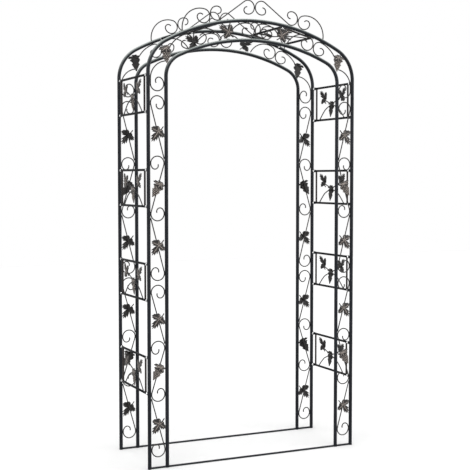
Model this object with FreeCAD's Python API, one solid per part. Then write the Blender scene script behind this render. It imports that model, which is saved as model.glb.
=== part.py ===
"""Garden trellis arch: two arched ladder frames of round steel tube, joined by bolted panels.

Millimetres. X runs across the walkway, Y from the front frame to the rear one, Z is up.
The origin is on the ground, midway between the four legs. Each frame is drawn once, as the
right half of the front frame in the XZ plane, then mirrored to the left half; the rear frame
is the front one turned half a turn about Z, so its ornaments also face outwards.
"""
import FreeCAD
import Part
import math
import os

# Frame tubes
OUTER_TUBE_X = 592.0
INNER_TUBE_X = 496.0
FRAME_Y = 220.0
TUBE_RADIUS = 9.5
TUBE_WALL = 1.2
JOINT_HEIGHTS = (950.0, 1900.0)
SPIGOT_LENGTH = 80.0
SPIGOT_WALL = 1.2
SPIGOT_PLAY = 0.05
GROUND_BAR_RADIUS = 5.0

# Arch curve of each tube: corner radius, height where the corner starts, height of the crown
OUTER_ARCH = (180.0, 2006.0, 2291.0)
INNER_ARCH = (120.0, 1986.0, 2190.0)

# Scroll wire: a volute is a large arc followed by a tighter curl
WIRE_RADIUS = 3.0
VOLUTE_RADIUS = 35.5
VOLUTE_SWEEP = 237.0
CURL_RADIUS = 18.0
CURL_SWEEP = 160.0
LADDER_X = (OUTER_TUBE_X + INNER_TUBE_X) / 2.0

# Heights of the lowest and highest scroll wire in the two leg sections
LEG_SCROLL_SPANS = {"lower": (60.0, 936.0), "upper": (960.0, 1887.0)}
MIDDLE_SCROLL_SHARE = 0.350
STEM_FOOT_RISE = 26.0
LEAF_SHARE = 0.48

# Arch scrolls, right half: where the volutes are, and how each stem hooks on from its volute
# (the volute's join angle, the hook's radius and the angle at which it ends)
SPRING_VOLUTE = (LADDER_X, 1947.0)
SPRING_STEM_TOP = 1972.0
SPRING_HOOK_RADIUS = 90.0
SHOULDER_VOLUTE_ANGLE = 68.6
SHOULDER_HOOK = (69.0, 160.0, 28.0)
HAUNCH_HOOK = (58.0, 100.0, 150.0)
CROWN_VOLUTE = (38.5, 2240.65)
CROWN_HOOK = (100.0, 100.0, 30.0)

# Crest scrolls, right half: the peak volute, and the direction of the low one from the crown's centre
PEAK_VOLUTE = (38.5, 2359.5)
CREST_LOW_VOLUTE_ANGLE = 78.55
CREST_HOOK = (102.0, 103.0, -9.0)

# Stamped vine leaf: each lobe's direction from the tip's axis, its length, and the sinus after it
LEAF_LOBES = ((0.0, 62.0, 13.0), (80.0, 43.0, 30.0), (148.0, 28.0, 13.0), (214.0, 25.0, 27.0),
              (275.0, 44.5, 13.0))
LEAF_TOOTH_ANGLE = 17.0
LEAF_STALK_LENGTH = 38.0
LEAF_STALK_ANGLE = 202.0
LEAF_THICKNESS = 2.0
STALK_WIDTH = 4.0
# The notch between a lobe's tip and its tooth: share of the tooth's angle, share of its reach
NOTCH_SHARE = 0.45
NOTCH_DEPTH = 0.93

# Stamped grape bunch: crown of small leaves, then a bunch that tapers to a point
GRAPE_CROWN_LOBES = ((0.0, 27.0, 22.0), (58.0, 37.0, 22.0), (80.0, 41.0, 15.0), (140.0, 15.0, 12.0),
                     (222.0, 17.0, 15.0), (257.0, 27.0, 21.0), (304.0, 34.0, 22.0))
GRAPE_CROWN_TOOTH_ANGLE = 9.0
GRAPE_ROWS = ((18.0, 14.0), (32.0, 16.5), (46.0, 14.5), (59.0, 8.5))
GRAPE_BERRY_RADIUS = 6.5
GRAPE_TIP = 77.0
GRAPE_STALK_LENGTH = 19.0
GRAPE_STALK_ANGLE = 140.0
GRAPE_THICKNESS = 3.0

# Where the ornaments are, and the direction of their tips
LEG_LEAF_X = LADDER_X - 2.5
LEG_LEAF_ANGLE = 305.0
LEG_GRAPE_SHIFT = (-12.0, 22.0)
LEG_GRAPE_ANGLE = 303.0
ARCH_LEAF = (154.0, 2225.0)
ARCH_LEAF_ANGLE = 30.0
ARCH_GRAPE = (499.0, 2126.0)
ARCH_GRAPE_ANGLE = 264.5

# Bolted panels between the outer tubes: bars run along Y, posts stand between them
PANEL_HEIGHTS = (475.0, 950.0, 1425.0, 1900.0)
PANEL_OFFSET = 1.5
TOP_PANEL_ANGLE = 15.1
BAR_SPACING = 184.0
BAR_RADIUS = 6.0
BAR_ROUND_END = 177.0
TONGUE_START = 183.0
TONGUE_END = 200.5
TONGUE_HEIGHT = 15.0
PLATE = 3.0
POST_Y = 172.0
POST_RADIUS = 5.0
BOLT_Y = 193.0
BOLT_RADIUS = 3.0
BOLT_HOLE_RADIUS = 3.3
LUG_HEIGHT = 16.0
LUG_END = 186.0
HEX_ACROSS_FLATS = 10.0
BOLT_HEAD_HEIGHT = 4.0
NUT_HEIGHT = 5.0
BOLT_TAIL = 2.0

# Vine stem of a panel, as (along Y, up) from the panel's centre; the other one mirrors it,
# and the two pass each other side by side
PANEL_STEM = ((97.0, 28.0), (62.0, 12.0), (15.0, -4.0), (-58.0, -31.0), (-88.0, -51.0), (-125.0, -84.4))
STEM_SIDESTEP = WIRE_RADIUS
PANEL_LEAF = (102.0, 32.0)
PANEL_LEAF_ANGLE = 45.0
PANEL_GRAPE = (16.4, -3.2)
PANEL_GRAPE_ANGLE = -80.0

SIDES = {"left": -1.0, "right": 1.0}


def point(position):
    """A drawing position (x, z) as a point in the XZ plane."""
    return FreeCAD.Vector(position[0], 0.0, position[1])


def polar(centre, radius, angle):
    """The position at an angle in degrees on a circle."""
    turn = math.radians(angle)
    return (centre[0] + radius * math.cos(turn), centre[1] + radius * math.sin(turn))


def angle_to(start, end):
    """Direction in degrees from one position to another."""
    return math.degrees(math.atan2(end[1] - start[1], end[0] - start[0]))


def line(start, end):
    return Part.LineSegment(point(start), point(end)).toShape()


def arc(centre, radius, start, end):
    """Circular edge between two angles, drawn either way round."""
    middle = polar(centre, radius, (start + end) / 2.0)
    ends = [polar(centre, radius, angle) for angle in (start, end)]
    return Part.Arc(point(ends[0]), point(middle), point(ends[1])).toShape()


def volute(centre, start, turn):
    """Edges of a volute, from its stem inwards; turn is 1 anticlockwise, -1 clockwise."""
    join = start + turn * VOLUTE_SWEEP
    curl_centre = polar(centre, VOLUTE_RADIUS - CURL_RADIUS, join)
    return [arc(centre, VOLUTE_RADIUS, start, join),
            arc(curl_centre, CURL_RADIUS, join, join + turn * CURL_SWEEP)]


def sweep(edges, radius):
    """Round bar along joined edges."""
    path = Part.Wire(Part.sortEdges(edges)[0])
    first = path.OrderedEdges[0]
    start = path.OrderedVertexes[0].Point
    along = first.tangentAt(first.Curve.parameter(start))
    profile = Part.Wire(Part.Circle(start, along, radius).toShape())
    return path.makePipeShell([profile], True, False)


def wire_bar(edges):
    return sweep(edges, WIRE_RADIUS)


def mirrored(shape):
    """The same shape on the other side of the walkway's centre plane."""
    return shape.mirror(FreeCAD.Vector(0, 0, 0), FreeCAD.Vector(1, 0, 0))


def on_side(shape, side):
    return mirrored(shape) if SIDES[side] < 0 else shape.copy()


def in_frame(shape, frame):
    """Move a shape drawn in the XZ plane to the front or the rear frame."""
    placed = shape.copy()
    placed.translate(FreeCAD.Vector(0, -FRAME_Y, 0))
    if frame == "rear":
        placed.rotate(FreeCAD.Vector(0, 0, 0), FreeCAD.Vector(0, 0, 1), 180.0)
    return placed


class ArchCurve:
    """Three-centred arch: a corner arc at each side, and one crown arc tangent to both."""

    def __init__(self, side_x, corner_radius, spring_z, crown_z):
        self.side_x = side_x
        self.corner_radius = corner_radius
        self.corner_centre = (side_x - corner_radius, spring_z)
        rise = crown_z - spring_z - corner_radius
        centre_gap = (self.corner_centre[0] ** 2 + rise ** 2) / (2.0 * rise)
        self.crown_radius = centre_gap + corner_radius
        self.crown_centre = (0.0, crown_z - self.crown_radius)
        self.join_angle = angle_to(self.crown_centre, self.corner_centre)

    def edges(self, foot_z):
        """Centre line from the right foot over the crown to the left foot."""
        right = [line((self.side_x, foot_z), (self.side_x, self.corner_centre[1])),
                 arc(self.corner_centre, self.corner_radius, 0.0, self.join_angle)]
        crown = arc(self.crown_centre, self.crown_radius, self.join_angle, 180.0 - self.join_angle)
        return right + [crown] + [mirrored(edge) for edge in right]


def arch_curves():
    return {"outer": ArchCurve(OUTER_TUBE_X, *OUTER_ARCH),
            "inner": ArchCurve(INNER_TUBE_X, *INNER_ARCH)}


def round_bar(start, end, radius):
    along = end - start
    return Part.makeCylinder(radius, along.Length, start, along)


def straight_tube(x, bottom, top, radius, wall):
    """Upright tube in the XZ plane; a wall as thick as the radius makes it solid."""
    ends = (FreeCAD.Vector(x, 0, bottom), FreeCAD.Vector(x, 0, top))
    outside = round_bar(*ends, radius)
    return outside if wall == radius else outside.cut(round_bar(*ends, radius - wall))


def arch_tube(curve):
    edges = curve.edges(JOINT_HEIGHTS[1])
    return sweep(edges, TUBE_RADIUS).cut(sweep(edges, TUBE_RADIUS - TUBE_WALL))


def joint_spigots():
    """Short inner tubes that line up the sections at every joint."""
    radius = TUBE_RADIUS - TUBE_WALL - SPIGOT_PLAY
    spigots = []
    for height in JOINT_HEIGHTS:
        for x in (OUTER_TUBE_X, INNER_TUBE_X):
            half = SPIGOT_LENGTH / 2.0
            spigot = straight_tube(x, height - half, height + half, radius, SPIGOT_WALL)
            for side in SIDES:
                spigots += [in_frame(on_side(spigot, side), frame) for frame in ("front", "rear")]
    return spigots


def ground_bars():
    """Round bar on the ground: one length across the walkway, one between the tubes of each leg."""
    tubes = [straight_tube(side * x, 0.0, 2.0 * TUBE_RADIUS, TUBE_RADIUS, TUBE_RADIUS)
             for x in (OUTER_TUBE_X, INNER_TUBE_X) for side in SIDES.values()]
    bar = round_bar(FreeCAD.Vector(-OUTER_TUBE_X, 0, GROUND_BAR_RADIUS),
                    FreeCAD.Vector(OUTER_TUBE_X, 0, GROUND_BAR_RADIUS), GROUND_BAR_RADIUS)
    return bar.cut(tubes).Solids


def single_scroll(centre, foot):
    """Volute whose straight stem runs down to a foot on the inner tube."""
    reach = math.dist(centre, foot)
    start = angle_to(centre, foot) + math.degrees(math.acos(VOLUTE_RADIUS / reach))
    return [line(foot, polar(centre, VOLUTE_RADIUS, start))] + volute(centre, start, 1)


def double_scroll(upper, lower, turn):
    """Two volutes joined by a straight stem that crosses between them."""
    half_gap = math.dist(upper, lower) / 2.0
    lean = math.degrees(math.acos(VOLUTE_RADIUS / half_gap))
    start = angle_to(upper, lower) + turn * lean
    ends = (polar(upper, VOLUTE_RADIUS, start), polar(lower, VOLUTE_RADIUS, start + 180.0))
    return volute(upper, start, turn) + [line(*ends)] + volute(lower, start + 180.0, turn)


def half_turned(edges, centre):
    """Edges turned half a turn about a centre in the XZ plane."""
    turned = [edge.copy() for edge in edges]
    for edge in turned:
        edge.rotate(point(centre), FreeCAD.Vector(0, 1, 0), 180.0)
    return turned


def leg_scrolls(level):
    """Three scrolls of a right leg section, its centre, and how far from it the leaves are."""
    low, high = LEG_SCROLL_SPANS[level]
    centre = (LADDER_X, (low + high) / 2.0)
    half_gap = MIDDLE_SCROLL_SHARE * (high - low) / 2.0 - VOLUTE_RADIUS
    upper = (LADDER_X, centre[1] + half_gap)
    lower = (LADDER_X, centre[1] - half_gap)
    top = (LADDER_X, high - VOLUTE_RADIUS)
    foot = (LADDER_X - VOLUTE_RADIUS, upper[1] + STEM_FOOT_RISE)
    top_scroll = single_scroll(top, foot)
    scrolls = [top_scroll, double_scroll(upper, lower, -1), half_turned(top_scroll, centre)]
    leaf_rise = foot[1] + LEAF_SHARE * (top[1] - foot[1]) - centre[1]
    return [wire_bar(edges) for edges in scrolls], centre, leaf_rise


def hooked_scroll(centre, turn, hook):
    """Volute that runs on, without a corner, into a wider arc."""
    join, radius, end = hook
    hook_centre = polar(centre, VOLUTE_RADIUS - radius, join)
    return [arc(hook_centre, radius, end, join)] + volute(centre, join, turn)


def volute_pair(curve, angle, turn):
    """Centres of two volutes that rest side by side on the outside of an arch tube."""
    reach = curve.crown_radius + TUBE_RADIUS + WIRE_RADIUS + VOLUTE_RADIUS
    step = 2.0 * math.degrees(math.asin((VOLUTE_RADIUS + WIRE_RADIUS) / reach))
    return [polar(curve.crown_centre, reach, angle + shift) for shift in (0.0, turn * step)]


def arch_scrolls(inner):
    """Four scrolls of the right half of an arch."""
    stem_foot = (SPRING_VOLUTE[0] + VOLUTE_RADIUS, SPRING_VOLUTE[1])
    stem_top = (stem_foot[0], SPRING_STEM_TOP)
    hook_centre = (stem_top[0] - SPRING_HOOK_RADIUS, SPRING_STEM_TOP)
    spring = volute(SPRING_VOLUTE, 0.0, -1) + [line(stem_foot, stem_top)]
    spring.append(arc(hook_centre, SPRING_HOOK_RADIUS, 0.0, 90.0))
    shoulder, haunch = volute_pair(inner, SHOULDER_VOLUTE_ANGLE, 1)
    paths = [spring, hooked_scroll(shoulder, 1, SHOULDER_HOOK),
             hooked_scroll(haunch, -1, HAUNCH_HOOK), hooked_scroll(CROWN_VOLUTE, 1, CROWN_HOOK)]
    return [wire_bar(edges) for edges in paths]


def crest_scrolls(outer):
    """Two scrolls of the right half of a crest, resting on the outer tube."""
    low, side = volute_pair(outer, CREST_LOW_VOLUTE_ANGLE, -1)
    tube = sweep(outer.edges(JOINT_HEIGHTS[1]), TUBE_RADIUS)
    side_scroll = wire_bar(hooked_scroll(side, 1, CREST_HOOK)).cut(tube)
    return [wire_bar(double_scroll(PEAK_VOLUTE, low, 1)), side_scroll]


def lobed_outline(lobes, tooth_angle):
    """Toothed lobes around the origin: each has a tip, and a tooth halfway down either flank."""
    outline = []
    for index, (angle, length, sinus) in enumerate(lobes):
        gap = (lobes[(index + 1) % len(lobes)][0] - angle) % 360.0
        before = (length + lobes[index - 1][2]) / 2.0
        after = (length + sinus) / 2.0
        for turn, radius in ((-1.0, before), (-NOTCH_SHARE, NOTCH_DEPTH * before), (0.0, length),
                             (NOTCH_SHARE, NOTCH_DEPTH * after), (1.0, after)):
            outline.append((angle + turn * tooth_angle, radius))
        outline.append((angle + gap / 2.0, sinus))
    return [polar((0.0, 0.0), radius, angle) for angle, radius in outline]


def plate(outline, thickness):
    """Plate in the XZ plane, its back on the plane and its front towards -Y."""
    corners = [point(position) for position in outline]
    face = Part.Face(Part.makePolygon(corners + corners[:1]))
    return face.extrude(FreeCAD.Vector(0, -thickness, 0))


def stalk(reach, angle, thickness):
    """Strip from the origin outwards, at this angle from +X."""
    half = STALK_WIDTH / 2.0
    strip = plate([(0.0, -half), (reach, -half), (reach, half), (0.0, half)], thickness)
    strip.rotate(FreeCAD.Vector(0, 0, 0), FreeCAD.Vector(0, 1, 0), -angle)
    return strip


def vine_leaf():
    """Five-lobed leaf at the origin, its tip towards +X."""
    outline = lobed_outline(LEAF_LOBES, LEAF_TOOTH_ANGLE)
    blade = plate(outline, LEAF_THICKNESS)
    return blade.fuse(stalk(LEAF_STALK_LENGTH, LEAF_STALK_ANGLE, LEAF_THICKNESS)).removeSplitter()


def grape_bunch():
    """Grape bunch at the origin, its tip towards +X and its crown of leaves behind."""
    crown = lobed_outline(GRAPE_CROWN_LOBES, GRAPE_CROWN_TOOTH_ANGLE)
    front = FreeCAD.Vector(0, -1, 0)
    last = (GRAPE_TIP - GRAPE_BERRY_RADIUS, 0.0)
    core = [(along, -half) for along, half in GRAPE_ROWS] + [last]
    core += [(along, half) for along, half in reversed(GRAPE_ROWS)]
    pieces = [plate(crown, GRAPE_THICKNESS), stalk(GRAPE_STALK_LENGTH, GRAPE_STALK_ANGLE, GRAPE_THICKNESS)]
    for along, half in GRAPE_ROWS + (last,):
        for across in sorted({-half, half}):
            centre = FreeCAD.Vector(along, 0, across)
            pieces.append(Part.makeCylinder(GRAPE_BERRY_RADIUS, GRAPE_THICKNESS, centre, front))
    return plate(core, GRAPE_THICKNESS).fuse(pieces).removeSplitter()


def ornament(shape, position, angle):
    """Turn an ornament in the XZ plane and set it on the front of the wire there."""
    placed = shape.copy()
    placed.rotate(FreeCAD.Vector(0, 0, 0), FreeCAD.Vector(0, 1, 0), -angle)
    placed.translate(point(position) + FreeCAD.Vector(0, -WIRE_RADIUS, 0))
    return placed


def leg_foliage(centre, leaf_rise):
    """Leaf, grape bunch and leaf of a right leg section."""
    leaf = vine_leaf()
    leaves = [ornament(leaf, (LEG_LEAF_X, centre[1] + rise), LEG_LEAF_ANGLE)
              for rise in (leaf_rise, -leaf_rise)]
    grape_at = (centre[0] + LEG_GRAPE_SHIFT[0], centre[1] + LEG_GRAPE_SHIFT[1])
    return leaves + [ornament(grape_bunch(), grape_at, LEG_GRAPE_ANGLE)]


def arch_foliage():
    """Leaf near the crown and grape bunch in the corner of a right half arch."""
    return [ornament(vine_leaf(), ARCH_LEAF, ARCH_LEAF_ANGLE),
            ornament(grape_bunch(), ARCH_GRAPE, ARCH_GRAPE_ANGLE)]


def cross_hole(y, z):
    """Bolt hole right through along X."""
    start = FreeCAD.Vector(-10.0, y, z)
    return round_bar(start, start + FreeCAD.Vector(20.0, 0, 0), BOLT_HOLE_RADIUS)


def tongue(z):
    """Flattened end of a bar: the round bar runs into a strip with a rounded end and a hole."""
    circle = Part.Circle(FreeCAD.Vector(0, BAR_ROUND_END, z), FreeCAD.Vector(0, 1, 0), BAR_RADIUS)
    half_height = TONGUE_HEIGHT / 2.0
    half_plate = PLATE / 2.0
    outline = [FreeCAD.Vector(x, TONGUE_START, z + rise) for x, rise in
               ((half_plate, half_height), (-half_plate, half_height),
                (-half_plate, -half_height), (half_plate, -half_height), (half_plate, half_height))]
    neck = Part.makeLoft([Part.Wire(circle.toShape()), Part.makePolygon(outline)], True, True)
    disc_y = TONGUE_END - half_height
    strip = Part.makeBox(PLATE, disc_y - TONGUE_START, TONGUE_HEIGHT,
                         FreeCAD.Vector(-half_plate, TONGUE_START, z - half_height))
    disc = Part.makeCylinder(half_height, PLATE, FreeCAD.Vector(-half_plate, disc_y, z),
                             FreeCAD.Vector(1, 0, 0))
    return neck.fuse([strip, disc]).cut(cross_hole(BOLT_Y, z))


def panel_bar(z):
    """Round bar along Y whose flattened ends take the bolts."""
    bar = plain_bar(z)
    near = tongue(z).mirror(FreeCAD.Vector(0, 0, 0), FreeCAD.Vector(0, 1, 0))
    return bar.fuse([tongue(z), near]).removeSplitter()


def plain_bar(z):
    ends = [FreeCAD.Vector(0, end * BAR_ROUND_END, z) for end in (-1.0, 1.0)]
    return round_bar(*ends, BAR_RADIUS)


def panel_post(y):
    """Post between the bars, its ends shaped to fit them."""
    half = BAR_SPACING / 2.0
    post = round_bar(FreeCAD.Vector(0, y, -half), FreeCAD.Vector(0, y, half), POST_RADIUS)
    return post.cut([plain_bar(half), plain_bar(-half)])


def panel_frame():
    """Two bars and two posts around the origin, in the YZ plane."""
    half = BAR_SPACING / 2.0
    return [panel_bar(half), panel_bar(-half), panel_post(POST_Y), panel_post(-POST_Y)]


def panel_stem(side, x):
    """Curved vine stem, in a plane just beside the panel's, from a leaf down to the lower bar."""
    curve = Part.BSplineCurve()
    curve.interpolate([FreeCAD.Vector(x, side * y, z) for y, z in PANEL_STEM])
    return wire_bar([curve.toShape()])


def panel_ornament(shape, position, angle, back_x):
    """Set an ornament in the YZ plane with its back at back_x and its front outwards."""
    placed = shape.copy()
    placed.rotate(FreeCAD.Vector(0, 0, 0), FreeCAD.Vector(0, 1, 0), -angle)
    placed.rotate(FreeCAD.Vector(0, 0, 0), FreeCAD.Vector(0, 0, 1), 90.0)
    placed.translate(FreeCAD.Vector(back_x, position[0], position[1]))
    return placed


def panel_vine():
    """Two crossing stems, a leaf at each upper end and a grape bunch where they cross."""
    leaf = vine_leaf()
    along, rise = PANEL_LEAF
    return [panel_stem(1.0, STEM_SIDESTEP), panel_stem(-1.0, -STEM_SIDESTEP),
            panel_ornament(leaf, (along, rise), PANEL_LEAF_ANGLE, STEM_SIDESTEP + WIRE_RADIUS),
            panel_ornament(leaf, (-along, rise), 180.0 - PANEL_LEAF_ANGLE,
                           WIRE_RADIUS - STEM_SIDESTEP),
            panel_ornament(grape_bunch(), PANEL_GRAPE, PANEL_GRAPE_ANGLE,
                           STEM_SIDESTEP + WIRE_RADIUS)]


def hexagon(height, x):
    """Hexagonal prism along X from x."""
    radius = HEX_ACROSS_FLATS / math.sqrt(3.0)
    corners = []
    for step in range(7):
        turn = math.radians(60.0 * step)
        corners.append(FreeCAD.Vector(x, radius * math.cos(turn), radius * math.sin(turn)))
    return Part.Face(Part.makePolygon(corners)).extrude(FreeCAD.Vector(height, 0, 0))


def bolt():
    """Bolt along X with the tongue between 1.5 outside and 1.5 inside the origin."""
    face = PLATE / 2.0
    tail = -(face + PLATE + NUT_HEIGHT + BOLT_TAIL)
    shank = round_bar(FreeCAD.Vector(tail, 0, 0), FreeCAD.Vector(face, 0, 0), BOLT_RADIUS)
    return shank.fuse(hexagon(BOLT_HEAD_HEIGHT, face)).removeSplitter()


def nut():
    face = PLATE / 2.0 + PLATE
    bore = round_bar(FreeCAD.Vector(-20, 0, 0), FreeCAD.Vector(0, 0, 0), BOLT_RADIUS + 0.03)
    return hexagon(NUT_HEIGHT, -face - NUT_HEIGHT).cut(bore)


def lug(end):
    """Flat tab behind the tongue; the tube cuts its far edge to fit."""
    reach = FRAME_Y - LUG_END
    near = min(end * LUG_END, end * (LUG_END + reach))
    corner = FreeCAD.Vector(-PLATE * 1.5, near, -LUG_HEIGHT / 2.0)
    return Part.makeBox(PLATE, reach, LUG_HEIGHT, corner).cut(cross_hole(end * BOLT_Y, 0.0))


def at_bolts(make_piece):
    """One piece at each of a panel's four bolts."""
    pieces = []
    for z in (-BAR_SPACING / 2.0, BAR_SPACING / 2.0):
        for end in (-1.0, 1.0):
            piece = make_piece(end)
            piece.translate(FreeCAD.Vector(0, 0, z))
            pieces.append(piece)
    return pieces


def bolted_piece(shape):
    """A maker that puts the shape on a bolt's axis."""
    def make(end):
        piece = shape.copy()
        piece.translate(FreeCAD.Vector(0, end * BOLT_Y, 0))
        return piece
    return make


def side_place(side, height):
    """Move panel pieces to a side of the arch, facing outwards."""
    def move(piece):
        placed = piece.copy()
        placed.translate(FreeCAD.Vector(OUTER_TUBE_X + PANEL_OFFSET, 0, height))
        if side == "left":
            placed.rotate(FreeCAD.Vector(0, 0, 0), FreeCAD.Vector(0, 0, 1), 180.0)
        return placed
    return move


def top_place(side, outer):
    """Move panel pieces to the top of the arch, facing outwards."""
    half = BAR_SPACING / 2.0
    reach = math.sqrt(outer.crown_radius ** 2 - half ** 2) + PANEL_OFFSET

    def move(piece):
        placed = piece.copy()
        placed.translate(FreeCAD.Vector(reach, 0, 0))
        lift = 90.0 - TOP_PANEL_ANGLE
        placed.rotate(FreeCAD.Vector(0, 0, 0), FreeCAD.Vector(0, 1, 0), -lift)
        placed.translate(point(outer.crown_centre))
        if side == "left":
            placed.rotate(FreeCAD.Vector(0, 0, 0), FreeCAD.Vector(0, 0, 1), 180.0)
        return placed
    return move


def moved(pieces, move):
    return [move(piece) for piece in pieces]


def save(name, pieces):
    """One STEP file per node; several like pieces stay separate solids."""
    shape = pieces[0] if len(pieces) == 1 else Part.makeCompound(pieces)
    shape.exportStep(os.path.join("parts", name + ".step"))


def save_frame_tubes(curves):
    """Leg sections, arch tubes, ground bars and spigots."""
    levels = {"lower": (0.0, JOINT_HEIGHTS[0]), "upper": JOINT_HEIGHTS}
    tube_x = {"outer": OUTER_TUBE_X, "inner": INNER_TUBE_X}
    for frame in ("front", "rear"):
        for row, curve in curves.items():
            save(f"{frame}_arch_{row}_tube", [in_frame(arch_tube(curve), frame)])
            for level, (bottom, top) in levels.items():
                tube = straight_tube(tube_x[row], bottom, top, TUBE_RADIUS, TUBE_WALL)
                for side in SIDES:
                    placed = in_frame(on_side(tube, other_side(side, frame)), frame)
                    save(f"{frame}_{side}_{level}_{row}_tube", [placed])
        save(f"{frame}_ground_bar", [in_frame(bar, frame) for bar in ground_bars()])
    save("joint_spigots", joint_spigots())


def other_side(side, frame):
    """The rear frame is turned about, so its left leg is drawn on the right."""
    if frame == "front":
        return side
    return "right" if side == "left" else "left"


def both_halves(pieces):
    return pieces + [mirrored(piece) for piece in pieces]


def save_frame_ornaments(curves):
    """Scrolls and foliage of the legs, arches and crests."""
    scrolls = arch_scrolls(curves["inner"])
    crest = crest_scrolls(curves["outer"])
    foliage = arch_foliage()
    for frame in ("front", "rear"):
        save(f"{frame}_arch_scrollwork", [in_frame(p, frame) for p in both_halves(scrolls)])
        save(f"{frame}_arch_foliage", [in_frame(p, frame) for p in both_halves(foliage)])
        save(f"{frame}_crest_scrolls", [in_frame(p, frame) for p in both_halves(crest)])
    for level in LEG_SCROLL_SPANS:
        wires, centre, leaf_rise = leg_scrolls(level)
        ornaments = leg_foliage(centre, leaf_rise)
        for frame in ("front", "rear"):
            for side in SIDES:
                drawn = other_side(side, frame)
                place = [in_frame(on_side(piece, drawn), frame) for piece in wires]
                save(f"{frame}_{side}_{level}_scrollwork", place)
                place = [in_frame(on_side(piece, drawn), frame) for piece in ornaments]
                save(f"{frame}_{side}_{level}_foliage", place)


def panel_places(outer):
    """Every panel's name and mover."""
    places = []
    for side in SIDES:
        for number, height in enumerate(PANEL_HEIGHTS):
            places.append((f"{side}_panel_{number + 1}", side_place(side, height)))
    for side in SIDES:
        places.append((f"top_{side}", top_place(side, outer)))
    return places


def fitted_lugs(move, tubes):
    """Lugs of one panel, cut to the tubes they are welded to."""
    lugs = moved(at_bolts(lug), move)
    return [piece.cut(tubes) for piece in lugs]


def save_panels(curves):
    """Panel frames, vines, lugs, bolts and nuts."""
    outer = curves["outer"]
    outline = [sweep(outer.edges(0.0), TUBE_RADIUS)]
    tubes = [in_frame(outline[0], frame) for frame in ("front", "rear")]
    vines = {"left": [], "right": [], "top": []}
    groups = {"top_panel_frames": [], "panel_lugs": [], "panel_bolts": [], "panel_nuts": []}
    for name, move in panel_places(outer):
        frame_pieces = moved(panel_frame(), move)
        if name.startswith("top"):
            groups["top_panel_frames"] += frame_pieces
        else:
            save(f"{name}_frame", frame_pieces)
        vines[name.split("_")[0]] += moved(panel_vine(), move)
        groups["panel_lugs"] += fitted_lugs(move, tubes)
        groups["panel_bolts"] += moved(at_bolts(bolted_piece(bolt())), move)
        groups["panel_nuts"] += moved(at_bolts(bolted_piece(nut())), move)
    for place, pieces in vines.items():
        save(f"{place}_panel_vines", pieces)
    for name, pieces in groups.items():
        save(name, pieces)


def main():
    os.makedirs("parts", exist_ok=True)
    curves = arch_curves()
    save_frame_tubes(curves)
    save_frame_ornaments(curves)
    save_panels(curves)


main()
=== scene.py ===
"""Looks of the garden trellis arch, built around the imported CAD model.

Shapes are worked out in millimetres, in the same drawing as the CAD: the right half of the
front frame in the XZ plane, with its front towards -Y. Every piece is turned into metres last.
"""
import math

import bpy
import numpy as np
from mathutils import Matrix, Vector


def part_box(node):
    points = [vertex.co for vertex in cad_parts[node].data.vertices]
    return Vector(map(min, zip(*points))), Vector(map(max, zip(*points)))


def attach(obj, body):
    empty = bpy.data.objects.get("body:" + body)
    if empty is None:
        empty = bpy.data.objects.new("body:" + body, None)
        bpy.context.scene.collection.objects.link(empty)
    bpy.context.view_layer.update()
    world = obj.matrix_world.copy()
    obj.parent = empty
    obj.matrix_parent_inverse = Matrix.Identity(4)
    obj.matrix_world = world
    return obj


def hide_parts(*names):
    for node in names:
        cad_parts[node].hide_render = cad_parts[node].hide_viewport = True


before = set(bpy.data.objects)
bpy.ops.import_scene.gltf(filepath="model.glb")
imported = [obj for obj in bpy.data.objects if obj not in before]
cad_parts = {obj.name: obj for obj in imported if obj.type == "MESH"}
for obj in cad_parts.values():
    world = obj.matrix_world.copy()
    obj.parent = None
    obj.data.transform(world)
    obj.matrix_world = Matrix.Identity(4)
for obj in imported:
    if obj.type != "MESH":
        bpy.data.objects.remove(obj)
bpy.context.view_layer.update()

MM = 0.001


def cad_box(node):
    """Lowest and highest corner of a CAD node, in millimetres."""
    low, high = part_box(node)
    return np.array(low) / MM, np.array(high) / MM


def cad_centre(node):
    """Middle of a CAD node's box, in millimetres."""
    low, high = cad_box(node)
    return (low + high) / 2.0


# Tubes: where they stand and where their sections meet, measured on the CAD
OUTER_TUBE_X = cad_centre("front_right_lower_outer_tube")[0]
INNER_TUBE_X = cad_centre("front_right_lower_inner_tube")[0]
FRAME_Y = -cad_centre("front_right_lower_outer_tube")[1]
TUBE_RADIUS = 9.5
TUBE_WALL = 1.2
LOWER_JOINT = cad_box("front_right_lower_outer_tube")[1][2]
UPPER_JOINT = cad_box("front_right_upper_outer_tube")[1][2]
JOINT_CHAMFER = 0.7
GROUND_BAR_RADIUS = 5.0

# Arch curves: corner radius, height where the corner starts, height of the crown
OUTER_ARCH = (180.0, 2006.0, 2291.0)
INNER_ARCH = (120.0, 1986.0, 2190.0)

# Straight start of an arch tube, above its joint
ARCH_START = 30.0
# How far up an open foot the inside of a tube is drawn
DRAWN_BORE = 60.0

# Scroll wire: a volute is a large arc followed by a tighter curl
WIRE_RADIUS = 3.0
VOLUTE_RADIUS = 35.5
VOLUTE_SWEEP = 237.0
CURL_RADIUS = 18.0
CURL_SWEEP = 160.0
LADDER_X = (OUTER_TUBE_X + INNER_TUBE_X) / 2.0
# Heights of the lowest and highest scroll wire in the two leg sections
LEG_SCROLL_SPANS = {"lower": (60.0, 936.0), "upper": (960.0, 1887.0)}
MIDDLE_SCROLL_SHARE = 0.350
STEM_FOOT_RISE = 26.0
LEAF_SHARE = 0.48
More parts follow.
